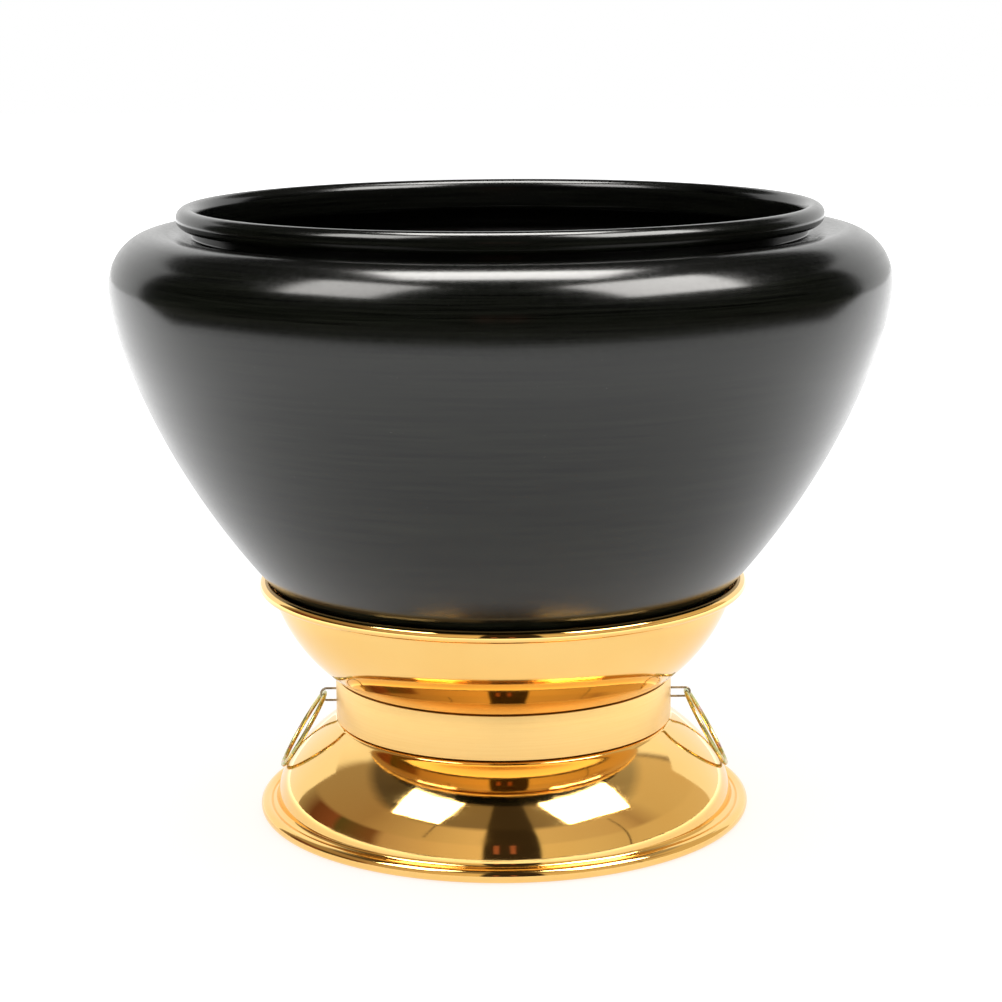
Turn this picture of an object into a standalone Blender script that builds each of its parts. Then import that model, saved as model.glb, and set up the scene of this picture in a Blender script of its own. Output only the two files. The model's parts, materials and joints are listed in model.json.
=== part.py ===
"""Spun-metal bowl resting on a pedestal stand with two hanging wire rings.

Metres, +Z up. The origin is the centre of the foot's underside, where the stand meets the table.
The stand is two spun sheets, a dish and a domed foot, riveted together with a brushed collar
trapped between them. Each ring hangs in a wire staple that is clinched inside the neck.
"""

import math

import bpy
from mathutils import Matrix, Vector

COLLECTION = "bowl_on_pedestal_stand"
CUTTERS = "cutters"
STEPS = 40  # flats round each large turned piece
GAP = 0.0003  # left between pieces that touch

# Foot: a rolled bead on the table, a domed wall, a neck, and an inward flange.
STAND_SHEET = 0.0009
FOOT_BEAD_RADIUS = 0.00186
FOOT_RIM_RADIUS = 0.0660
FOOT_GUTTER = (0.0619, 0.0032)  # bottom of the groove between the bead and the dome
DOME_LOW = (0.0615, 0.0037)
DOME_LOW_LEAN = math.radians(8)  # the wall's angle from vertical there
DOME_BEND = (0.0553, 0.0161)  # where the wall turns from convex to concave
DOME_BEND_LEAN = math.radians(42.5)
DOME_HANDLES = (0.0045, 0.0066, 0.0085, 0.0006)  # curve handles from the low edge up to the waist
WAIST_Z = 0.0247
NECK_RADIUS = 0.0438
LEDGE_Z = 0.0251
FLANGE_Z = 0.0373
FLANGE_BORE_RADIUS = 0.0300

# Collar: a brushed band round the neck.
COLLAR_RADIUS = 0.04515
COLLAR_SHEET = 0.0010
COLLAR_LOW_Z = LEDGE_Z + 0.0004
COLLAR_HIGH_Z = FLANGE_Z - 0.0001

# Dish: a flat floor, a bulging wall, and a rim rolled outwards.
DISH_FLOOR_Z = FLANGE_Z + 0.0004
DISH_FLOOR_RADIUS = 0.0449
DISH_WALL_LOW = (0.0461, 0.0383)
DISH_WALL_HIGH = (0.0613, 0.0602)
DISH_WALL_ARC_RADIUS = 0.0440
DISH_BEAD_RADIUS = 0.0016
DISH_BEAD_CENTRE = (0.0634, 0.0626)

# Bowl: a rolled lip, a short neck, a round shoulder, and a wall that tapers to a round bottom.
BOWL_SHEET = 0.0010
LIP_RADIUS = 0.0027
LIP_CENTRE = (0.0812, 0.1602)
GUTTER_Z = 0.1552
CREST = (0.0887, 0.1567)
BODY_RADIUS = 0.1015
BODY_WIDEST_Z = 0.1434
SEAT = (0.0608, 0.0626)  # where the wall rests against the dish's bead
SEAT_LEAN = math.radians(41.4)  # the wall's angle from vertical there
BOWL_BOTTOM_Z = 0.0420

# Rivets that join the dish's floor to the foot's flange.
RIVETS = 4
RIVET_CIRCLE_RADIUS = 0.0365
RIVET_SHANK_RADIUS = 0.0016
RIVET_HEAD_RADIUS = 0.0030
RIVET_HEAD_HEIGHT = 0.0013

# Rings and the staples that hold them, left at -X and right at +X.
RING_RADIUS = 0.0112
RING_WIRE_RADIUS = 0.0006
EYE_PLAY = 0.00015  # between the ring's wire and the bend of the staple
STAPLE_WIRE_RADIUS = 0.0003
STAPLE_HOLE_RADIUS = 0.00055
STAPLE_TAIL = 0.0025
SIDES = {
    "left": {"side": -1, "eye_x": 0.0484, "eye_z": 0.0305, "spacing": 0.0033},
    "right": {"side": 1, "eye_x": 0.0494, "eye_z": 0.0305, "spacing": 0.0024},
}

GOLD = (0.85, 0.56, 0.20)
BLACK = (0.012, 0.012, 0.010)
YELLOW_ZINC = (0.62, 0.56, 0.32)


def material(name, colour, roughness, metallic):
    made = bpy.data.materials.new(name)
    made.use_nodes = True
    shader = made.node_tree.nodes["Principled BSDF"]
    shader.inputs["Base Color"].default_value = (*colour, 1)
    shader.inputs["Roughness"].default_value = roughness
    shader.inputs["Metallic"].default_value = metallic
    return made


def arc(centre, radii, start, end, count):
    """Points on an ellipse about centre, from one angle to another in degrees, ends included."""
    angles = [math.radians(start + (end - start) * i / count) for i in range(count + 1)]
    return [(centre[0] + radii[0] * math.cos(a), centre[1] + radii[1] * math.sin(a)) for a in angles]


def arc_between(first, last, radius, count):
    """An arc of this radius between two points, bulging to the left of the way it runs."""
    a, b = Vector(first), Vector(last)
    half = (b - a) / 2
    across = Vector((-half.y, half.x)).normalized()
    centre = a + half - across * math.sqrt(radius**2 - half.length**2)
    start = (a - centre).angle_signed(b - centre)
    turned = [Matrix.Rotation(-start * i / count, 2) @ (a - centre) for i in range(count + 1)]
    return [tuple(centre + v) for v in turned]


def bezier(p0, p1, p2, p3, count):
    """Points on a cubic Bezier curve, without its first one."""
    points = []
    for i in range(1, count + 1):
        t = i / count
        weights = ((1 - t) ** 3, 3 * (1 - t) ** 2 * t, 3 * (1 - t) * t**2, t**3)
        points.append(tuple(sum(w * p[k] for w, p in zip(weights, (p0, p1, p2, p3))) for k in (0, 1)))
    return points


def new_object(name, data, collection, finish=None):
    made = bpy.data.objects.new(name, data)
    bpy.data.collections[collection].objects.link(made)
    if finish:
        data.materials.append(finish)
    return made


def turned(name, outline, finish, steps=STEPS, closed=False, sheet=0.0):
    """An outline of (radius, z) turned about Z. With a sheet thickness, the outline is its outer face."""
    edges = [(i, i + 1) for i in range(len(outline) - 1)]
    if closed:
        edges.append((len(outline) - 1, 0))
    mesh = bpy.data.meshes.new(name)
    mesh.from_pydata([(r, 0, z) for r, z in outline], edges, [])
    made = new_object(name, mesh, COLLECTION, finish)
    screw = made.modifiers.new("Turn", "SCREW")
    screw.steps = steps
    screw.render_steps = steps
    screw.use_merge_vertices = True
    screw.merge_threshold = 0.00001
    screw.use_smooth_shade = True
    if sheet:
        solidify = made.modifiers.new("Sheet", "SOLIDIFY")
        solidify.thickness = sheet
        solidify.offset = -1
        solidify.use_even_offset = True
    return made


def cut(piece, cutter):
    boolean = piece.modifiers.new(cutter.name, "BOOLEAN")
    boolean.operation = "DIFFERENCE"
    boolean.solver = "EXACT"
    boolean.object = cutter


def cylinder_cutter(name, radius, low, high, axis, at):
    """A cutter along X or Z, from low to high on that axis, at the place given by the other two."""
    bpy.ops.mesh.primitive_cylinder_add(vertices=12, radius=radius, depth=high - low)
    cutter = bpy.context.object
    cutter.name = name
    middle = (low + high) / 2
    if axis == "X":
        cutter.rotation_euler.y = math.pi / 2
        cutter.location = (middle, at[0], at[1])
    else:
        cutter.location = (at[0], at[1], middle)
    for collection in list(cutter.users_collection):
        collection.objects.unlink(cutter)
    bpy.data.collections[CUTTERS].objects.link(cutter)
    cutter.hide_render = True
    cutter.display_type = "WIRE"
    return cutter


def along_wall(point, lean, distance):
    """The point moved this far up a wall that leans in from vertical by this angle."""
    return point[0] - distance * math.sin(lean), point[1] + distance * math.cos(lean)


def dome_wall(count):
    """The foot's domed wall from its low edge to the waist, as two curves of this many flats."""
    waist = (COLLAR_RADIUS, WAIST_Z)
    lower = bezier(
        DOME_LOW,
        along_wall(DOME_LOW, DOME_LOW_LEAN, DOME_HANDLES[0]),
        along_wall(DOME_BEND, DOME_BEND_LEAN, -DOME_HANDLES[1]),
        DOME_BEND,
        count,
    )
    upper = bezier(
        DOME_BEND,
        along_wall(DOME_BEND, DOME_BEND_LEAN, DOME_HANDLES[2]),
        along_wall(waist, 0, -DOME_HANDLES[3]),
        waist,
        count,
    )
    return [DOME_LOW] + lower + upper


def make_foot(finish):
    flange = [
        (FLANGE_BORE_RADIUS, FLANGE_Z),
        *arc((NECK_RADIUS - 0.001, FLANGE_Z - 0.001), (0.001, 0.001), 90, 0, 2),
    ]
    ledge = [
        (NECK_RADIUS, LEDGE_Z + 0.0006),
        (NECK_RADIUS + 0.0003, LEDGE_Z + 0.0001),
        (COLLAR_RADIUS - 0.0004, LEDGE_Z - 0.0001),
    ]
    dome = list(reversed(dome_wall(5)))
    centre = (FOOT_RIM_RADIUS - FOOT_BEAD_RADIUS, FOOT_BEAD_RADIUS)
    corner = FOOT_BEAD_RADIUS / math.cos(math.radians(22.5))  # an octagon standing on a flat
    bead = arc(centre, (corner, corner), 112.5, -157.5, 6)
    outline = flange + ledge + dome + [FOOT_GUTTER] + bead
    return turned("stand_foot", outline, finish, sheet=STAND_SHEET)


def make_collar(finish):
    inner = COLLAR_RADIUS - COLLAR_SHEET
    outline = [
        (COLLAR_RADIUS, COLLAR_HIGH_Z),
        (COLLAR_RADIUS, COLLAR_LOW_Z),
        (inner, COLLAR_LOW_Z),
        (inner, COLLAR_HIGH_Z),
    ]
    return turned("waist_collar", outline, finish, closed=True)


def make_dish(finish):
    hollow = DISH_BEAD_RADIUS - STAND_SHEET
    bead = arc(DISH_BEAD_CENTRE, (hollow, hollow), -110, 160, 6)
    wall = arc_between(DISH_WALL_HIGH, DISH_WALL_LOW, DISH_WALL_ARC_RADIUS, 4)
    floor = [
        (DISH_FLOOR_RADIUS + 0.0007, DISH_FLOOR_Z + 0.0002),
        (DISH_FLOOR_RADIUS, DISH_FLOOR_Z),
        (0, DISH_FLOOR_Z),
    ]
    return turned("stand_dish", bead + wall + floor, finish, sheet=STAND_SHEET)


def make_bowl(finish):
    hollow = LIP_RADIUS - BOWL_SHEET
    neck_radius = LIP_CENTRE[0] - hollow
    lip = arc(LIP_CENTRE, (hollow, hollow), -115, 180, 7)
    gutter = [
        (neck_radius, GUTTER_Z + 0.0012),
        (neck_radius + 0.0003, GUTTER_Z + 0.0003),
        (neck_radius + 0.0011, GUTTER_Z),
        (0.0845, 0.1561),
    ]
    shoulder_centre = (CREST[0], BODY_WIDEST_Z)
    shoulder_radii = (BODY_RADIUS - CREST[0], CREST[1] - BODY_WIDEST_Z)
    shoulder = arc(shoulder_centre, shoulder_radii, 90, 0, 5)
    along = (math.sin(SEAT_LEAN), math.cos(SEAT_LEAN))
    wall = bezier(
        (BODY_RADIUS, BODY_WIDEST_Z),
        (BODY_RADIUS, BODY_WIDEST_Z - 0.0131),
        (SEAT[0] + 0.0434 * along[0], SEAT[1] + 0.0434 * along[1]),
        SEAT,
        7,
    )
    bottom = bezier(
        SEAT,
        (SEAT[0] - 0.0140 * along[0], SEAT[1] - 0.0140 * along[1]),
        (0.0340, BOWL_BOTTOM_Z),
        (0, BOWL_BOTTOM_Z),
        5,
    )
    outline = lip + gutter + shoulder + wall + bottom
    return turned("bowl", outline, finish, sheet=BOWL_SHEET)


def make_rivets(finish, dish, foot):
    top = DISH_FLOOR_Z + STAND_SHEET + GAP
    under = FLANGE_Z - STAND_SHEET - GAP
    outline = [
        (0, top + RIVET_HEAD_HEIGHT),
        (RIVET_HEAD_RADIUS * 0.55, top + RIVET_HEAD_HEIGHT * 0.85),
        (RIVET_HEAD_RADIUS, top + RIVET_HEAD_HEIGHT * 0.25),
        (RIVET_HEAD_RADIUS, top),
        (RIVET_SHANK_RADIUS, top),
        (RIVET_SHANK_RADIUS, under),
        (RIVET_HEAD_RADIUS * 0.85, under),
        (RIVET_HEAD_RADIUS * 0.75, under - RIVET_HEAD_HEIGHT * 0.8),
        (0, under - RIVET_HEAD_HEIGHT * 0.8),
    ]
    for i in range(RIVETS):
        angle = 2 * math.pi * (i + 0.5) / RIVETS
        x = RIVET_CIRCLE_RADIUS * math.cos(angle)
        y = RIVET_CIRCLE_RADIUS * math.sin(angle)
        turned(f"rivet_{i + 1}", outline, finish, steps=12).location = (x, y, 0)
        low, high = FLANGE_Z - 0.004, DISH_FLOOR_Z + 0.004
        hole = RIVET_SHANK_RADIUS + GAP
        cutter = cylinder_cutter(f"rivet_hole_{i + 1}", hole, low, high, "Z", (x, y))
        cut(dish, cutter)
        cut(foot, cutter)


def make_staple(name, place, finish, collar, foot):
    """A U of wire through the collar and the neck, its two tails bent flat against the neck's inside."""
    side = place["side"]
    bend = place["spacing"] / 2
    reach = place["eye_x"] + RING_WIRE_RADIUS + EYE_PLAY + STAPLE_WIRE_RADIUS
    tail_x = NECK_RADIUS - STAND_SHEET - GAP - STAPLE_WIRE_RADIUS
    half = [
        (tail_x, bend + STAPLE_TAIL),
        (tail_x, bend + 0.0007),
        (tail_x + 0.0002, bend + 0.0002),
        (tail_x + 0.0007, bend),
        (NECK_RADIUS + 0.0010, bend),
    ]
    loop = arc((reach - bend, 0), (bend, bend), 90, -90, 8)
    route = half + loop + [(x, -z) for x, z in reversed(half)]
    curve = bpy.data.curves.new(name, "CURVE")
    curve.dimensions = "3D"
    curve.bevel_depth = STAPLE_WIRE_RADIUS
    curve.bevel_resolution = 2
    curve.use_fill_caps = True
    spline = curve.splines.new("POLY")
    spline.points.add(len(route) - 1)
    for point, (x, z) in zip(spline.points, route):
        point.co = (side * x, 0, z, 1)
    staple = new_object(name, curve, COLLECTION, finish)
    staple.location = (0, 0, place["eye_z"])
    near, far = sorted((side * (tail_x - 0.0005), side * (COLLAR_RADIUS + 0.001)))
    for end, z in (("upper", bend), ("lower", -bend)):
        at = (0, place["eye_z"] + z)
        cutter = cylinder_cutter(f"{name}_{end}_hole", STAPLE_HOLE_RADIUS, near, far, "X", at)
        cut(collar, cutter)
        cut(foot, cutter)
    return staple


def dome_clearance(x, z):
    """The distance from a point in the XZ plane to the foot's domed wall."""
    wall = dome_wall(60)
    nearest = min((Vector(point) - Vector((x, z))).length for point in wall)
    radius_there = max(r for r, height in wall if height >= z)
    return nearest if x > radius_there else -nearest


def resting_lean(eye_x, eye_z):
    """The angle from vertical at which a ring hung in its eye comes to lie on the dome."""
    low, high = math.radians(20), math.radians(60)
    reach = 2 * RING_RADIUS
    for _ in range(30):
        lean = (low + high) / 2
        clearance = dome_clearance(eye_x + reach * math.sin(lean), eye_z - reach * math.cos(lean))
        if clearance < RING_WIRE_RADIUS + GAP:
            low = lean
        else:
            high = lean
    return high


def make_ring(name, place, finish):
    """A closed wire ring whose origin is its hinge axis, the centre of the wire in the staple's eye."""
    bpy.ops.mesh.primitive_torus_add(
        major_radius=RING_RADIUS,
        minor_radius=RING_WIRE_RADIUS,
        major_segments=32,
        minor_segments=8,
    )
    ring = bpy.context.object
    ring.name = name
    ring.data.name = name
    ring.data.transform(Matrix.Rotation(math.pi / 2, 4, "Y"))
    ring.data.transform(Matrix.Translation((0, 0, -RING_RADIUS)))
    ring.data.shade_smooth()
    ring.data.materials.append(finish)
    for collection in list(ring.users_collection):
        collection.objects.unlink(ring)
    bpy.data.collections[COLLECTION].objects.link(ring)
    ring.location = (place["side"] * place["eye_x"], 0, place["eye_z"])
    ring.rotation_euler.y = -place["side"] * resting_lean(place["eye_x"], place["eye_z"])
    return ring


def main():
    for old in list(bpy.data.objects):
        bpy.data.objects.remove(old)
    for name in (COLLECTION, CUTTERS):
        bpy.context.scene.collection.children.link(bpy.data.collections.new(name))

    polished = material("gold_polished", GOLD, 0.10, 1)
    brushed = material("gold_brushed", GOLD, 0.38, 1)
    black = material("black_coating", BLACK, 0.32, 0)
    zinc = material("yellow_zinc", YELLOW_ZINC, 0.25, 1)

    foot = make_foot(polished)
    collar = make_collar(brushed)
    dish = make_dish(polished)
    make_bowl(black)
    make_rivets(brushed, dish, foot)
    for word, place in SIDES.items():
        make_staple(f"staple_{word}", place, zinc, collar, foot)
        make_ring(f"ring_{word}", place, zinc)


main()
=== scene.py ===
"""The looks of a spun-metal bowl resting on its gold pedestal stand, in metres, +Z up.

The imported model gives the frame. Its turned pieces, rings and staples are coarse, so each is
replaced here by a finely turned or swept piece in the same place that rides on the same body.
"""

import json
import math

import bpy
from mathutils import Matrix, Vector


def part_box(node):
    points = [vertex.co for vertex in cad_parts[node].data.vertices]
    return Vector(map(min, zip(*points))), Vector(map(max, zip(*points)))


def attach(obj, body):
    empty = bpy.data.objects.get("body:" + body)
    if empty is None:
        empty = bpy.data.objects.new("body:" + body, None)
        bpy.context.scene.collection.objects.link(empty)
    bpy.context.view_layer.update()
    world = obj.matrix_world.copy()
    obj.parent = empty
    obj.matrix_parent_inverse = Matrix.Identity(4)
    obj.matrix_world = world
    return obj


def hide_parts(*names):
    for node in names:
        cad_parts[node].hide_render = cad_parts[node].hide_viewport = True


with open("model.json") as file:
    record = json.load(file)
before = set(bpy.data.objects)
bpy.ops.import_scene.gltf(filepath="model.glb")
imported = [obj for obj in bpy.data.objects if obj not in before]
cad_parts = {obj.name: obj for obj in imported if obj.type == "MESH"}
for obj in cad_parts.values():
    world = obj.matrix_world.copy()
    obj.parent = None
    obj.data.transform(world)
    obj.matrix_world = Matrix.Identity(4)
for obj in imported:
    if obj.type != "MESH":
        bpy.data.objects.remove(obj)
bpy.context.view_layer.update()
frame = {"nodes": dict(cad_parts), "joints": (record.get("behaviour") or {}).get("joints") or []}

TURNS = 240  # flats round each large turned piece
WELD = 0.000001  # points of a turned piece closer than this are merged
CORNER_ANGLE = math.radians(40)  # edges sharper than this are shaded sharp
CORNER_REACH = 0.48  # share of a line that the rounding at one end may take
CORNER_PULL = 0.6  # how far the handles of a rounded corner run towards it
MICRON = 0.000001
AXIS_HOLE = 0.0001  # no turned pattern is told apart this close to the axis

# Boxes read from the frame.
BOWL_LOW, BOWL_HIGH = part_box("bowl")
DISH_LOW, DISH_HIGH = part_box("stand_dish")
FOOT_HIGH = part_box("stand_foot")[1]
COLLAR_LOW, COLLAR_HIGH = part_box("waist_collar")

# Points on a profile are (radius, z), and steps along it (outwards, upwards). Profiles are the CAD
# model's, with finer corners.

# Foot: a flange and its neck, a ledge under the collar, a domed wall and a rolled bead.
STAND_SHEET = 0.0009
FOOT_BEAD_RADIUS = 0.00186
FOOT_BEAD_ARC = (142, -158)  # degrees the bead runs through
FOOT_GUTTER = (0.0619, 0.0032)  # bottom of the groove between the bead and the dome
FOOT_GUTTER_END = (0.0008, -0.0002)
FOOT_GUTTER_CORNER = 0.0005
DOME_LOW = (0.0615, 0.0037)
DOME_LOW_LEAN = math.radians(8)  # the wall's angle from vertical there
DOME_BEND = (0.0553, 0.0161)  # where the wall turns from convex to concave
DOME_BEND_LEAN = math.radians(42.5)
DOME_HANDLES = (0.0045, 0.0066, 0.0085, 0.0006)  # curve handles from the low edge up to the waist
WAIST_Z = 0.0247
LEDGE_Z = 0.0251
LEDGE_EDGE = (-0.0004, -0.0001)  # from the collar's radius, where the ledge turns down
LEDGE_CORNER = 0.0003
NECK_RADIUS = 0.0438
NECK_CORNER = 0.001
FLANGE_BORE_RADIUS = 0.0300

# Collar: a plain band.
COLLAR_SHEET = 0.0010
COLLAR_EDGE = 0.00012  # rounding of its edges

# Dish: a flat floor, a bulging wall, and a rim rolled outwards.
DISH_FLOOR_RADIUS = 0.0449
DISH_WALL_LOW = (0.0461, 0.0383)
DISH_WALL_HIGH = (0.0613, 0.0602)
DISH_WALL_ARC_RADIUS = 0.0440
DISH_BEAD_RADIUS = 0.0016
DISH_BEAD_ARC = (-110, 165)
DISH_NECK_HANDLE = (-0.0003, -0.0010)  # of the curve from the bead to the wall
DISH_CORNER_STEPS = (0.0005, -0.0020)  # outwards from the floor's radius: the corner, and its end
DISH_CORNER = 0.0009
DISH_FLOOR_MIDDLE = 0.02  # radius of a ring of points part way across the floor

# Bowl: a rolled lip, a short neck, a round shoulder, and a wall that tapers to a round bottom.
BOWL_SHEET = 0.0010
LIP_RADIUS = 0.0027
LIP_CENTRE = (0.0812, 0.1602)
LIP_ARC = (-112, 180)
GUTTER_Z = 0.1552
GUTTER_FLAT = (0.0012, -0.00003)
GUTTER_CORNER = 0.0011
SHOULDER_START = (0.0845, 0.1562)
CREST = (0.0887, 0.1567)
BODY_WIDEST_Z = 0.1434
WALL_HANDLES = (0.0131, 0.0434)  # from the widest place down, and from the seat up
BOTTOM_HANDLE = 0.0140
BOTTOM_ROUND_RADIUS = 0.0340
SEAT = (0.0608, 0.0626)  # where the wall rests against the dish's bead
SEAT_LEAN = math.radians(41.4)  # the wall's angle from vertical there

# Rings and staples.
RING_WIRE_RADIUS = 0.0006
STAPLE_WIRE_RADIUS = 0.0003
STAPLE_TAIL = 0.0025
STAPLE_CORNER = 0.0007
STAPLE_GAP = 0.0003  # between its clinched tail and the neck
STAPLE_SPACING = {"left": 0.0033, "right": 0.0024}
EYE_PLAY = 0.00015  # between the ring's wire and the bend of the staple

# Camera.
CAMERA_PLACE = (-0.0003, -0.6496, 0.2165)
CAMERA_PITCH = math.radians(11.57)
CAMERA_ROLL = math.radians(-0.42)
CAMERA_SENSOR = 36  # millimetres, as is its lens
CAMERA_LENS = 89.4

# Studio. Directions are azimuth in degrees from the front towards +X, and elevation in degrees.
WORLD_STRENGTH = 1.0
FLOOR_SIZE = 8
FLOOR_GLOW = (0.60, 0.64, 1.36)  # in front of the object, beside it, and far off or behind
FLOOR_FRONT = (-0.40, -0.14)  # y over which the first turns into the second
FLOOR_FAR = (0.11, 0.29)  # distances from the middle over which the second turns into the third
ROOM_RADIUS = 3.0
ROOM_STRENGTH = 1.2
CARD_LIFT = 0.0004  # of the dark floor, above the white one
TABLE_CENTRE_Y = 0.12
TABLE_REACH = (0.60, 0.54)  # half its width, and how far its rounded front comes forward
TABLE_FLATS = 32
DARK_FLOOR = (0.05, 0.045, 0.035)
SOFTBOX_DISTANCE = 0.75
SOFTBOX_TINT = (1.0, 0.985, 0.95)
SOFTBOXES = (  # name, azimuth, elevation, (width, height), roll in degrees, strength
    ("softbox_left", -58, 51, (0.34, 0.36), -8, 11.0),
    ("softbox_right", 62, 51, (0.46, 0.38), 8, 15.0),
    ("softbox_above", 180, 83, (0.46, 0.32), 0, 18.0),
)
PROPS = (  # name, azimuth, distance, (lowest, highest), width, colour
    ("light_stand_left", -41, 1.0, (0.45, 1.10), 0.016, (0.10, 0.07, 0.05)),
    ("light_stand_right", 62, 1.0, (0.0, 0.85), 0.016, (0.10, 0.07, 0.05)),
    ("stool_left", -4, 1.6, (0.20, 0.58), 0.07, (0.36, 0.13, 0.09)),
    ("stool_right", 4, 1.6, (0.20, 0.58), 0.07, (0.36, 0.13, 0.09)),
)
BACKDROP_EDGE = 124  # azimuth of its edge at each side
BACKDROP_RADIUS = 2.6
BACKDROP_HEIGHT = 2.2
BACKDROP_FLATS = 24
BACKDROP_TINT = (1.0, 1.0, 0.99)
BACKDROP_STRENGTH = 1.1
TIER_BLEND = 0.03  # sine of the elevation over which one tier turns into the next
ROOM_TIERS = (  # sine of the elevation each tier starts at, then (azimuth, colour) stops
    (
        -1.0,
        (
            (-150, (1.0, 1.0, 1.0)),
            (-130, (0.86, 0.84, 0.80)),
            (-124, (0.32, 0.28, 0.20)),
            (-110, (0.12, 0.05, 0.025)),
            (-94, (0.18, 0.07, 0.04)),
            (-90, (0.08, 0.07, 0.03)),
            (-68, (0.16, 0.08, 0.04)),
            (-62, (0.42, 0.32, 0.22)),
            (-30, (0.62, 0.50, 0.34)),
            (-11, (0.70, 0.57, 0.38)),
            (-10, (0.03, 0.022, 0.015)),
            (17, (0.03, 0.022, 0.015)),
            (18, (0.66, 0.55, 0.36)),
            (60, (0.56, 0.47, 0.32)),
            (128, (0.62, 0.52, 0.36)),
            (131, (0.24, 0.20, 0.15)),
            (134, (0.95, 0.93, 0.88)),
        ),
    ),
    (
        0.34,
        (
            (-150, (1.0, 1.0, 1.0)),
            (-130, (0.86, 0.84, 0.80)),
            (-124, (0.32, 0.26, 0.18)),
            (-80, (0.30, 0.22, 0.14)),
            (-30, (0.56, 0.46, 0.31)),
            (-11, (0.66, 0.54, 0.37)),
            (-10, (0.03, 0.022, 0.015)),
            (17, (0.03, 0.022, 0.015)),
            (18, (0.58, 0.48, 0.32)),
            (64, (0.50, 0.40, 0.27)),
            (75, (0.36, 0.27, 0.18)),
            (90, (0.55, 0.46, 0.31)),
            (128, (0.60, 0.50, 0.34)),
            (131, (0.24, 0.20, 0.15)),
            (134, (0.95, 0.93, 0.88)),
        ),
    ),
    (
        0.71,
        (
            (-140, (0.40, 0.38, 0.33)),
            (-120, (0.10, 0.08, 0.06)),
            (-80, (0.06, 0.05, 0.04)),
            (-30, (0.20, 0.16, 0.11)),
            (-11, (0.20, 0.16, 0.11)),
            (-10, (0.04, 0.03, 0.02)),
            (17, (0.04, 0.03, 0.02)),
            (18, (0.20, 0.16, 0.11)),
            (90, (0.26, 0.22, 0.16)),
            (140, (0.40, 0.38, 0.33)),
        ),
    ),
)


def arc(centre, radii, start, end, count):
    """Points on an ellipse about centre, from one angle to another in degrees, ends included."""
    angles = [math.radians(start + (end - start) * i / count) for i in range(count + 1)]
    across, up = radii
    return [(centre[0] + across * math.cos(a), centre[1] + up * math.sin(a)) for a in angles]


def arc_between(first, last, radius, count):
    """An arc of this radius between two points, bulging to the left of the way it runs."""
    a, b = Vector(first), Vector(last)
    half = (b - a) / 2
    across = Vector((-half.y, half.x)).normalized()
    centre = a + half - across * math.sqrt(radius**2 - half.length**2)
    sweep = (a - centre).angle_signed(b - centre)
    turns = [Matrix.Rotation(-sweep * i / count, 2) for i in range(count + 1)]
    return [tuple(centre + turn @ (a - centre)) for turn in turns]


def bezier(p0, p1, p2, p3, count):
    """Points on a cubic Bezier curve, without its first one."""
    points = []
    for i in range(1, count + 1):
        t = i / count
        weights = ((1 - t) ** 3, 3 * (1 - t) ** 2 * t, 3 * (1 - t) * t**2, t**3)
        weighted = [(w * p[0], w * p[1]) for w, p in zip(weights, (p0, p1, p2, p3))]
        points.append(tuple(sum(parts) for parts in zip(*weighted)))
    return points


def rounded(points, radius, count=5):
    """The same line with each inner corner replaced by a curve that starts this far from it."""
    line = [points[0]]
    for before, corner, after in zip(points, points[1:], points[2:]):
        b, c, a = Vector(before), Vector(corner), Vector(after)
        reach = min(radius, (b - c).length * CORNER_REACH, (a - c).length * CORNER_REACH)
        start = c + (b - c).normalized() * reach
        end = c + (a - c).normalized() * reach
        line.append(tuple(start))
        line += bezier(start, start.lerp(c, CORNER_PULL), end.lerp(c, CORNER_PULL), end, count)
    line.append(points[-1])
    return line


def inner_face(line, thickness):
    """The line moved by a sheet's thickness to the right of the way it runs."""
    moved = []
    for i, point in enumerate(line):
        before = Vector(line[max(i - 1, 0)])
        after = Vector(line[min(i + 1, len(line) - 1)])
        along = (after - before).normalized()
        moved.append((point[0] + along.y * thickness, point[1] - along.x * thickness))
    return moved


def sheet_outline(outer, thickness):
    """A sheet's whole outline from its outer face, ending on the axis where that face does."""
    inner = inner_face(outer, thickness)
    if outer[-1][0] == 0:
        inner[-1] = (0, inner[-1][1])
    return list(reversed(inner)) + outer


def add_object(name, data):
    made = bpy.data.objects.new(name, data)
    bpy.context.scene.collection.objects.link(made)
    return made


def turned(name, outline, closed):
    """A fine mesh turned about Z from an outline of (radius, z)."""
    edges = [(i, i + 1) for i in range(len(outline) - 1)]
    if closed:
        edges.append((len(outline) - 1, 0))
    mesh = bpy.data.meshes.new(name)
    mesh.from_pydata([(r, 0, z) for r, z in outline], edges, [])
    made = add_object(name, mesh)
    screw = made.modifiers.new("Turn", "SCREW")
    screw.steps = TURNS
    screw.render_steps = TURNS
    screw.use_merge_vertices = True
    screw.merge_threshold = WELD
    return settle(made)


def settle(obj):
    """The object as a plain mesh with its modifiers applied, shaded smooth up to sharp corners."""
    graph = bpy.context.evaluated_depsgraph_get()
    mesh = bpy.data.meshes.new_from_object(obj.evaluated_get(graph))
    mesh.name = obj.name
    obj.modifiers.clear()
    if obj.type == "MESH":
        obj.data = mesh
        made = obj
    else:
        name = obj.name
        bpy.data.objects.remove(obj)
        made = add_object(name, mesh)
    mesh.shade_smooth()
    mesh.set_sharp_from_angle(angle=CORNER_ANGLE)
    return made


def stand_in(piece, body, node, material):
    """The piece replaces a CAD node: same body, a material of its own, finer shape."""
    piece.data.materials.clear()
    piece.data.materials.append(material)
    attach(piece, body)
    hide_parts(node)


def shifted(point, step):
    return point[0] + step[0], point[1] + step[1]


def along_wall(point, lean, distance):
    """The point moved this far up a wall that leans in from vertical by this angle."""
    return point[0] - distance * math.sin(lean), point[1] + distance * math.cos(lean)


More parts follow.
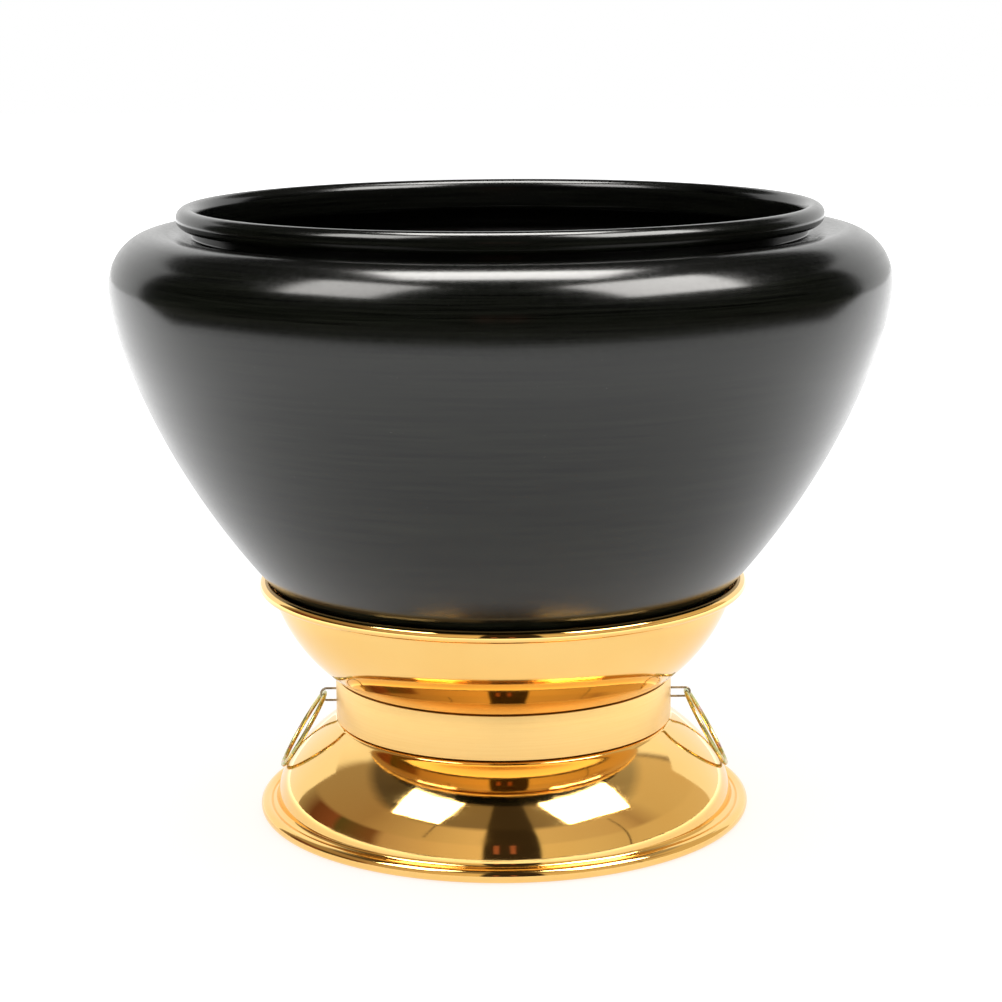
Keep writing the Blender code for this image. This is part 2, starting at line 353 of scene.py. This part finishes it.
def dome_wall(count):
    """The foot's domed wall from its low edge to the waist, as two curves of this many flats."""
    waist = (COLLAR_HIGH.x, WAIST_Z)
    lower = bezier(
        DOME_LOW,
        along_wall(DOME_LOW, DOME_LOW_LEAN, DOME_HANDLES[0]),
        along_wall(DOME_BEND, DOME_BEND_LEAN, -DOME_HANDLES[1]),
        DOME_BEND,
        count,
    )
    upper = bezier(
        DOME_BEND,
        along_wall(DOME_BEND, DOME_BEND_LEAN, DOME_HANDLES[2]),
        along_wall(waist, 0, -DOME_HANDLES[3]),
        waist,
        count,
    )
    return [DOME_LOW] + lower + upper


def foot_outline():
    """The foot's outer face, from its flange's bore down to the end of its bead."""
    flange_z, collar_radius = FOOT_HIGH.z, COLLAR_HIGH.x
    corner_centre = (NECK_RADIUS - NECK_CORNER, flange_z - NECK_CORNER)
    top = [(FLANGE_BORE_RADIUS, flange_z)]
    top += arc(corner_centre, (NECK_CORNER, NECK_CORNER), 90, 0, count=6)
    ledge_points = [
        top[-1],
        (NECK_RADIUS, LEDGE_Z),
        shifted((collar_radius, LEDGE_Z), LEDGE_EDGE),
        (collar_radius, WAIST_Z),
    ]
    ledge = rounded(ledge_points, LEDGE_CORNER, count=3)
    dome = list(reversed(dome_wall(count=40)))
    gutter_points = [DOME_LOW, FOOT_GUTTER, shifted(FOOT_GUTTER, FOOT_GUTTER_END)]
    gutter = rounded(gutter_points, FOOT_GUTTER_CORNER, count=4)
    centre = (FOOT_HIGH.x - FOOT_BEAD_RADIUS, FOOT_BEAD_RADIUS)
    bead = arc(centre, (FOOT_BEAD_RADIUS, FOOT_BEAD_RADIUS), *FOOT_BEAD_ARC, count=36)
    return top + ledge[1:] + dome[1:] + gutter[1:] + bead


def collar_outline():
    """The band's whole section, with rounded edges."""
    inner, outer = COLLAR_HIGH.x - COLLAR_SHEET, COLLAR_HIGH.x
    middle = (COLLAR_HIGH.z + COLLAR_LOW.z) / 2
    corners = [
        (outer, middle),
        (outer, COLLAR_LOW.z),
        (inner, COLLAR_LOW.z),
        (inner, COLLAR_HIGH.z),
        (outer, COLLAR_HIGH.z),
        (outer, middle),
    ]
    return rounded(corners, COLLAR_EDGE, count=4)[:-1]


def dish_outline():
    """The dish's lower face, from the end of its bead down to the middle of its floor."""
    hollow = DISH_BEAD_RADIUS - STAND_SHEET
    centre = (DISH_HIGH.x - DISH_BEAD_RADIUS, SEAT[1])
    bead = arc(centre, (hollow, hollow), *DISH_BEAD_ARC, count=26)
    wall = arc_between(DISH_WALL_HIGH, DISH_WALL_LOW, DISH_WALL_ARC_RADIUS, count=30)
    neck = bezier(bead[-1], shifted(bead[-1], DISH_NECK_HANDLE), wall[0], wall[0], count=6)
    floor_points = [(DISH_FLOOR_RADIUS + step, DISH_LOW.z) for step in DISH_CORNER_STEPS]
    corner = rounded([wall[-1]] + floor_points, DISH_CORNER)
    floor = [(DISH_FLOOR_MIDDLE, DISH_LOW.z), (0, DISH_LOW.z)]
    return bead + neck[:-1] + wall + corner[1:] + floor


def bowl_outline():
    """The bowl's outer face, from the end of its lip down to the middle of its bottom."""
    hollow = LIP_RADIUS - BOWL_SHEET
    neck = (LIP_CENTRE[0] - hollow, GUTTER_Z)
    widest = (BOWL_HIGH.x, BODY_WIDEST_Z)
    lip = arc(LIP_CENTRE, (hollow, hollow), *LIP_ARC, count=36)
    gutter_points = [lip[-1], neck, shifted(neck, GUTTER_FLAT), SHOULDER_START, CREST]
    gutter = rounded(gutter_points, GUTTER_CORNER, count=6)
    radii = (widest[0] - CREST[0], CREST[1] - BODY_WIDEST_Z)
    shoulder = arc((CREST[0], BODY_WIDEST_Z), radii, 90, 0, count=36)
    wall = bezier(
        widest,
        shifted(widest, (0, -WALL_HANDLES[0])),
        along_wall(SEAT, -SEAT_LEAN, WALL_HANDLES[1]),
        SEAT,
        count=60,
    )
    bottom = bezier(
        SEAT,
        along_wall(SEAT, -SEAT_LEAN, -BOTTOM_HANDLE),
        (BOTTOM_ROUND_RADIUS, BOWL_LOW.z),
        (0, BOWL_LOW.z),
        count=24,
    )
    return lip + gutter[1:-1] + shoulder + wall + bottom


def hinge_place(side_word):
    """The point that a ring swings about."""
    joint = next(j for j in frame["joints"] if j["child"] == f"ring_{side_word}")
    return Vector(joint["pos_m"])


def ring_mesh(name, side_word):
    """A closed wire ring in the CAD ring's place, hung from its hinge's point."""
    pivot = hinge_place(side_word)
    low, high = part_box(f"ring_{side_word}")
    centre = (low + high) / 2
    radius = (high.y - low.y) / 2 - RING_WIRE_RADIUS
    bpy.ops.mesh.primitive_torus_add(
        major_radius=radius,
        minor_radius=RING_WIRE_RADIUS,
        major_segments=144,
        minor_segments=20,
    )
    ring = bpy.context.object
    ring.name = name
    ring.data.name = name
    normal = (pivot - centre).cross(Vector((0, 1, 0)))
    ring.rotation_mode = "QUATERNION"
    ring.rotation_quaternion = normal.to_track_quat("Z", "Y")
    ring.location = pivot + (centre - pivot).normalized() * radius
    ring.data.shade_smooth()
    return ring


def staple_mesh(name, side_word):
    """A U of wire round the ring's wire, with its tails clinched inside the neck."""
    pivot = hinge_place(side_word)
    side = math.copysign(1, pivot.x)
    bend = STAPLE_SPACING[side_word] / 2
    reach = abs(pivot.x) + RING_WIRE_RADIUS + EYE_PLAY + STAPLE_WIRE_RADIUS
    tail_x = NECK_RADIUS - STAND_SHEET - STAPLE_GAP - STAPLE_WIRE_RADIUS
    half_points = [(tail_x, bend + STAPLE_TAIL), (tail_x, bend), (reach - bend, bend)]
    half = rounded(half_points, STAPLE_CORNER, count=6)
    loop = arc((reach - bend, 0), (bend, bend), 90, -90, count=24)
    route = half[:-1] + loop + [(x, -z) for x, z in reversed(half[:-1])]
    curve = bpy.data.curves.new(name, "CURVE")
    curve.dimensions = "3D"
    curve.bevel_depth = STAPLE_WIRE_RADIUS
    curve.bevel_resolution = 5
    curve.use_fill_caps = True
    spline = curve.splines.new("POLY")
    spline.points.add(len(route) - 1)
    for point, (x, z) in zip(spline.points, route):
        point.co = (side * x, 0, pivot.z + z, 1)
    return settle(add_object(name, curve))


class Graph:
    """A material's node tree, with one short call for each node."""

    def __init__(self, name):
        self.material = bpy.data.materials.new(name)
        self.material.use_nodes = True
        self.tree = self.material.node_tree
        self.shader = self.tree.nodes["Principled BSDF"]

    def node(self, kind, inputs=(), **settings):
        """A new node. Each input is fed by a number, a colour or another node's output."""
        made = self.tree.nodes.new(kind)
        for key, value in settings.items():
            setattr(made, key, value)
        for key, value in dict(inputs).items():
            self.feed(made.inputs[key], value)
        return made

    def feed(self, socket, value):
        if isinstance(value, bpy.types.NodeSocket):
            self.tree.links.new(value, socket)
        else:
            socket.default_value = value

    def math(self, operation, *values):
        made = self.node("ShaderNodeMath", operation=operation)
        for socket, value in zip(made.inputs, values):
            self.feed(socket, value)
        return made.outputs[0]

    def blend(self, first, second, share):
        """The sum of two values, the first with this share and the second with the rest."""
        rest = self.math("MULTIPLY", second, 1 - share)
        return self.math("ADD", self.math("MULTIPLY", first, share), rest)

    def length(self, x, y):
        """The length of a vector with these two parts."""
        squares = self.math("ADD", self.math("MULTIPLY", x, x), self.math("MULTIPLY", y, y))
        return self.math("SQRT", squares)

    def remap(self, value, span, start, end):
        """A value that runs from start to end while this one crosses the span."""
        limits = {"From Min": span[0], "From Max": span[1], "To Min": start, "To Max": end}
        return self.node("ShaderNodeMapRange", {"Value": value, **limits}).outputs[0]

    def ramp(self, factor, stops):
        """A colour ramp: stops are (position, grey or colour)."""
        made = self.node("ShaderNodeValToRGB", {"Fac": factor})
        elements = made.color_ramp.elements
        while len(elements) < len(stops):
            elements.new(0.5)
        for element, (position, colour) in zip(elements, stops):
            element.position = position
            channels = colour if isinstance(colour, tuple) else (colour,) * 3
            element.color = (*channels, 1)
        return made.outputs["Color"]

    def mix(self, factor, first, second):
        """A colour between the first and the second."""
        made = self.node("ShaderNodeMix", data_type="RGBA")
        self.feed(made.inputs["Factor"], factor)
        colours = [socket for socket in made.inputs if socket.type == "RGBA"]
        for socket, colour in zip(colours, (first, second)):
            self.feed(socket, colour)
        return next(socket for socket in made.outputs if socket.type == "RGBA")

    def place(self):
        return self.node("ShaderNodeTexCoord").outputs["Object"]

    def axes(self):
        return self.node("ShaderNodeSeparateXYZ", {"Vector": self.place()}).outputs

    def noise(self, vector, scale, detail=3.0, roughness=0.5):
        inputs = {"Vector": vector, "Scale": scale, "Detail": detail, "Roughness": roughness}
        return self.node("ShaderNodeTexNoise", inputs).outputs["Fac"]

    def turned_noise(self, along, around, detail, roughness=0.5):
        """Noise in rings round Z: along a profile it changes fast, and round each turn slowly."""
        return self.noise(self.turning(along, around), 1.0, detail, roughness)

    def turning(self, along, around):
        """Coordinates for turned lines: height less radius, times along, and a circle round Z."""
        x, y, z = self.axes()
        radius = self.length(x, y)
        # A circle of radius around stands for the angle, so that the pattern has no seam.
        safe = self.math("MAXIMUM", radius, AXIS_HOLE)
        turn_x = self.math("MULTIPLY", self.math("DIVIDE", x, safe), around)
        turn_y = self.math("MULTIPLY", self.math("DIVIDE", y, safe), around)
        height = self.math("MULTIPLY", self.math("SUBTRACT", z, radius), along)
        return self.node("ShaderNodeCombineXYZ", {"X": turn_x, "Y": turn_y, "Z": height}).outputs[0]

    def bump(self, height, distance, normal=None):
        """A shading normal. A finer bump's normal can be passed on through this one."""
        inputs = {"Height": height, "Distance": distance, "Strength": 1.0}
        if normal:
            inputs["Normal"] = normal
        return self.node("ShaderNodeBump", inputs).outputs["Normal"]

    def set(self, **values):
        for key, value in values.items():
            self.feed(self.shader.inputs[key.replace("_", " ")], value)
        return self.material


def black_coating():
    """Satin black over turned metal: fine level lines, a faint mottle and a few specks of dust."""
    g = Graph("black_coating")
    lines = g.turned_noise(along=1500, around=2.2, detail=4.0, roughness=0.75)
    bands = g.turned_noise(along=260, around=0.3, detail=2.0)
    mottle = g.noise(g.place(), scale=900, detail=2.0)
    specks = g.noise(g.place(), scale=2200, detail=1.0)
    speck = g.ramp(specks, [(0.79, 0.0), (0.83, 1.0)])
    body = g.ramp(lines, [(0.35, (0.0004, 0.0006, 0.0002)), (0.7, (0.0075, 0.0085, 0.0055))])
    fine = g.bump(g.blend(lines, mottle, share=0.7), distance=3.5 * MICRON)
    return g.set(
        Base_Color=g.mix(speck, body, (0.05, 0.05, 0.045, 1)),
        Roughness=g.ramp(g.blend(bands, mottle, share=0.5), [(0.3, 0.14), (0.7, 0.23)]),
        IOR=1.46,
        Normal=g.bump(bands, distance=12 * MICRON, normal=fine),
    )


def gold_polished():
    """Polished gold anodising: faint turned lines and slow changes of depth of colour."""
    g = Graph("gold_polished")
    lines = g.turned_noise(along=3000, around=0.5, detail=3.0, roughness=0.6)
    smears = g.turned_noise(along=220, around=2.5, detail=4.0, roughness=0.6)
    waves = g.turned_noise(along=420, around=3.0, detail=3.0, roughness=0.6)
    cloud = g.noise(g.place(), scale=45)
    fine = g.bump(lines, distance=2.2 * MICRON)
    return g.set(
        Base_Color=g.ramp(cloud, [(0.3, (0.93, 0.585, 0.188)), (0.7, (0.95, 0.622, 0.218))]),
        Metallic=1.0,
        Roughness=g.ramp(smears, [(0.35, 0.045), (0.75, 0.10)]),
        Normal=g.bump(waves, distance=8 * MICRON, normal=fine),
    )


def gold_brushed():
    """Gold anodising over satin brushing: dense level lines, no two the same depth."""
    g = Graph("gold_brushed")
    lines = g.turned_noise(along=5200, around=1.2, detail=4.0, roughness=0.8)
    bands = g.turned_noise(along=900, around=0.8, detail=3.0, roughness=0.7)
    grain = g.noise(g.place(), scale=2600, roughness=0.7)
    tone = g.blend(lines, bands, share=0.6)
    brushed = g.bump(tone, distance=14 * MICRON)
    return g.set(
        Base_Color=g.ramp(tone, [(0.3, (0.88, 0.555, 0.19)), (0.7, (0.96, 0.675, 0.275))]),
        Metallic=1.0,
        Roughness=g.ramp(bands, [(0.3, 0.30), (0.7, 0.42)]),
        Normal=g.bump(grain, distance=16 * MICRON, normal=brushed),
    )


def yellow_zinc():
    """Yellow zinc plating: bands of straw, green, pink and silver that wander along the wire."""
    g = Graph("yellow_zinc")
    drift = g.noise(g.place(), scale=190, roughness=0.6)
    grain = g.noise(g.place(), scale=5200, detail=2.0)
    tints = [
        (0.30, (0.70, 0.60, 0.52)),
        (0.38, (0.62, 0.48, 0.22)),
        (0.45, (0.42, 0.46, 0.20)),
        (0.52, (0.72, 0.60, 0.24)),
        (0.60, (0.62, 0.40, 0.38)),
        (0.70, (0.68, 0.62, 0.60)),
    ]
    return g.set(
        Base_Color=g.ramp(drift, tints),
        Metallic=1.0,
        Roughness=g.ramp(grain, [(0.3, 0.16), (0.7, 0.34)]),
        Normal=g.bump(grain, distance=10 * MICRON),
    )


def staple_steel():
    """Dull plated wire: grey-brown, with darker patches and fine drawn grain."""
    g = Graph("staple_steel")
    patches = g.noise(g.place(), scale=700)
    grain = g.noise(g.place(), scale=6000, detail=2.0)
    return g.set(
        Base_Color=g.ramp(patches, [(0.35, (0.24, 0.20, 0.15)), (0.65, (0.52, 0.46, 0.36))]),
        Metallic=1.0,
        Roughness=g.ramp(grain, [(0.3, 0.28), (0.7, 0.48)]),
        Normal=g.bump(grain, distance=10 * MICRON),
    )


def rivet_aluminium():
    """Bare aluminium: pale, with the small dents and smears of setting."""
    g = Graph("rivet_aluminium")
    dents = g.noise(g.place(), scale=1400)
    return g.set(
        Base_Color=g.ramp(dents, [(0.3, (0.66, 0.66, 0.65)), (0.7, (0.84, 0.84, 0.83))]),
        Metallic=1.0,
        Roughness=g.ramp(dents, [(0.3, 0.28), (0.7, 0.45)]),
        Normal=g.bump(dents, distance=40 * MICRON),
    )


def build_object():
    """Every piece of the object in its material. Returns the bowl."""
    black, polished, brushed = black_coating(), gold_polished(), gold_brushed()
    zinc, steel, aluminium = yellow_zinc(), staple_steel(), rivet_aluminium()

    bowl = turned("bowl_spun", sheet_outline(bowl_outline(), BOWL_SHEET), False)
    stand_in(bowl, "bowl", "bowl", black)
    foot = turned("foot_spun", sheet_outline(foot_outline(), STAND_SHEET), True)
    stand_in(foot, "stand", "stand_foot", polished)
    dish = turned("dish_spun", sheet_outline(dish_outline(), STAND_SHEET), False)
    stand_in(dish, "stand", "stand_dish", polished)
    collar = turned("collar_band", collar_outline(), True)
    stand_in(collar, "stand", "waist_collar", brushed)
    for word in ("left", "right"):
        ring = ring_mesh(f"ring_{word}_wire", word)
        stand_in(ring, f"ring_{word}", f"ring_{word}", zinc)
        staple = staple_mesh(f"staple_{word}_wire", word)
        stand_in(staple, "stand", f"staple_{word}", steel)
    for name, node in frame["nodes"].items():
        if name.startswith("rivet_"):
            for material_slot in node.material_slots:
                material_slot.material = aluminium
    return bowl


def reflected_only(obj):
    """Stage that only shows in mirrors: it lights nothing, shades nothing and isn't seen."""
    obj.visible_camera = False
    obj.visible_diffuse = False
    obj.visible_shadow = False


def card(name, middle, size, faces, finish, roll=0.0):
    """A flat stage card of this (width, height), facing along a direction and rolled about it."""
    bpy.ops.mesh.primitive_plane_add(size=1, location=middle)
    made = bpy.context.object
    made.name = name
    made.data.transform(Matrix.Diagonal((size[0], size[1], 1, 1)))
    made.rotation_mode = "QUATERNION"
    turn = Matrix.Rotation(roll, 3, faces).to_quaternion()
    made.rotation_quaternion = turn @ Vector(faces).to_track_quat("Z", "Y")
    made.data.materials.append(finish)
    return made


def direction(azimuth, elevation):
    """A unit vector: azimuth 0 is towards the front, 90 towards +X."""
    a, e = math.radians(azimuth), math.radians(elevation)
    return Vector((math.sin(a) * math.cos(e), -math.cos(a) * math.cos(e), math.sin(e)))


def glow(name, colour, strength):
    """An evenly glowing stage finish."""
    g = Graph(name)
    return g.set(
        Base_Color=(0, 0, 0, 1),
        Specular_IOR_Level=0.0,
        Emission_Color=(*colour, 1),
        Emission_Strength=strength,
    )


def dark_floor():
    """The floor round the white table, whose edge is rounded in front and open behind."""
    half_width, reach = TABLE_REACH
    middle = (0, TABLE_CENTRE_Y)
    front = arc(middle, (half_width, reach), -180, 0, count=TABLE_FLATS)
    behind = direction(BACKDROP_EDGE, 0) * ROOM_RADIUS
    near = [(-behind.x, behind.y), *front, (behind.x, behind.y)]
    drops = [0, *[ROOM_RADIUS] * len(front), 0]  # how far each point's far mate is moved forward
    spread = ROOM_RADIUS / half_width
    far = [(x * spread, y - drop) for (x, y), drop in zip(near, drops)]
    count = len(near)
    faces = [(i, i + 1, count + i + 1, count + i) for i in range(count - 1)]
    mesh = bpy.data.meshes.new("dark_floor")
    mesh.from_pydata([(x, y, CARD_LIFT) for x, y in near + far], [], faces)
    mesh.materials.append(glow("dark_floor", DARK_FLOOR, 1.0))
    return add_object("dark_floor", mesh)


def room_glow():
    """The dim studio round the table: a glow that depends on the direction from the object."""
    g = Graph("room")
    x, y, z = g.axes()
    forward = g.math("MULTIPLY", y, -1.0)
    azimuth = g.math("DIVIDE", g.math("ARCTAN2", x, forward), 2 * math.pi)
    turn = g.math("ADD", azimuth, 0.5)
    sine = g.math("DIVIDE", z, ROOM_RADIUS)
    glow_colour = (0, 0, 0, 1)
    for start, stops in ROOM_TIERS:
        tier = g.ramp(turn, [(degrees / 360 + 0.5, colour) for degrees, colour in stops])
        share = g.remap(sine, (start - TIER_BLEND, start + TIER_BLEND), 0.0, 1.0)
        glow_colour = g.mix(share, glow_colour, tier)
    return g.set(
        Base_Color=(0, 0, 0, 1),
        Specular_IOR_Level=0.0,
        Emission_Color=glow_colour,
        Emission_Strength=ROOM_STRENGTH,
    )


def floor_glow(g):
    """The white table is brightest to the sides and behind, where the studio lights it."""
    front, beside, far = FLOOR_GLOW
    x, y = g.axes()[:2]
    near = g.remap(y, FLOOR_FRONT, front, beside)
    away = g.length(x, g.math("MAXIMUM", y, 0.0))
    return g.math("ADD", near, g.remap(away, FLOOR_FAR, 0.0, far - beside))


def backdrop():
    """A white paper backdrop bent round behind the table."""
    sweep = 360 - 2 * BACKDROP_EDGE
    azimuths = [BACKDROP_EDGE + sweep * i / BACKDROP_FLATS for i in range(BACKDROP_FLATS + 1)]
    foot = [direction(azimuth, 0) * BACKDROP_RADIUS for azimuth in azimuths]
    points = [(p.x, p.y, z) for z in (0.0, BACKDROP_HEIGHT) for p in foot]
    count = len(foot)
    faces = [(i, i + 1, count + i + 1, count + i) for i in range(BACKDROP_FLATS)]
    mesh = bpy.data.meshes.new("backdrop")
    mesh.from_pydata(points, [], faces)
    mesh.materials.append(glow("backdrop", BACKDROP_TINT, BACKDROP_STRENGTH))
    return add_object("backdrop", mesh)


def keep_dark(obj, stage_piece):
    """The stage piece isn't mirrored in this object, as if a black flag hid it from there."""
    flagged = bpy.data.collections.new(f"{stage_piece.name}_flagged")
    flagged.objects.link(obj)
    stage_piece.light_linking.receiver_collection = flagged
    flagged.collection_objects[0].light_linking.link_state = "EXCLUDE"


def white_floor():
    """Plain white paper, lit evenly enough to look pure white."""
    g = Graph("floor_white")
    paper = g.noise(g.place(), scale=60, detail=2.0)
    finish = g.set(
        Base_Color=g.ramp(paper, [(0.3, 0.50), (0.7, 0.51)]),
        Roughness=0.9,
        Specular_IOR_Level=0.0,
        Emission_Color=(1, 1, 1, 1),
        Emission_Strength=floor_glow(g),
    )
    return card("floor", (0, 0, 0), (FLOOR_SIZE, FLOOR_SIZE), (0, 0, 1), finish)


def dim_room():
    bpy.ops.mesh.primitive_uv_sphere_add(segments=96, ring_count=48, radius=ROOM_RADIUS)
    room = bpy.context.object
    room.name = "room"
    room.data.materials.append(room_glow())
    return room


def softbox(name, azimuth, elevation, size, roll, strength):
    towards = direction(azimuth, elevation)
    place = Vector((0, 0, BODY_WIDEST_Z)) + towards * SOFTBOX_DISTANCE
    finish = glow(name, SOFTBOX_TINT, strength)
    return card(name, place, size, -towards, finish, math.radians(roll))


def prop(name, azimuth, distance, heights, width, colour):
    """An upright strip that stands for a thing in the room."""
    lowest, highest = heights
    towards = direction(azimuth, 0)
    place = towards * distance + Vector((0, 0, (lowest + highest) / 2))
    return card(name, place, (width, highest - lowest), -towards, glow(name, colour, 1.0))


def even_sky():
    world = bpy.data.worlds.new("studio")
    bpy.context.scene.world = world
    world.use_nodes = True
    background = world.node_tree.nodes["Background"]
    background.inputs["Color"].default_value = (1, 1, 1, 1)
    background.inputs["Strength"].default_value = WORLD_STRENGTH


def build_studio(bowl):
    """The stage: a white table under softboxes, in a dim room that the bowl doesn't mirror."""
    floor = white_floor()
    reflected_only(dark_floor())
    room = dim_room()
    reflected_only(room)
    keep_dark(bowl, room)
    reflected_only(backdrop())
    for settings in SOFTBOXES:
        reflected_only(softbox(*settings))
    for settings in PROPS:
        reflected_only(prop(*settings))
    even_sky()


def build_camera():
    """The camera, and colours as they are, with no film curve."""
    camera_data = bpy.data.cameras.new("camera")
    camera_data.sensor_width = CAMERA_SENSOR
    camera_data.lens = CAMERA_LENS
    camera = add_object("camera", camera_data)
    camera.matrix_world = (
        Matrix.Translation(CAMERA_PLACE)
        @ Matrix.Rotation(math.pi / 2 - CAMERA_PITCH, 4, "X")
        @ Matrix.Rotation(CAMERA_ROLL, 4, "Z")
    )
    bpy.context.scene.camera = camera
    bpy.context.scene.view_settings.view_transform = "Standard"


build_studio(build_object())
build_camera()
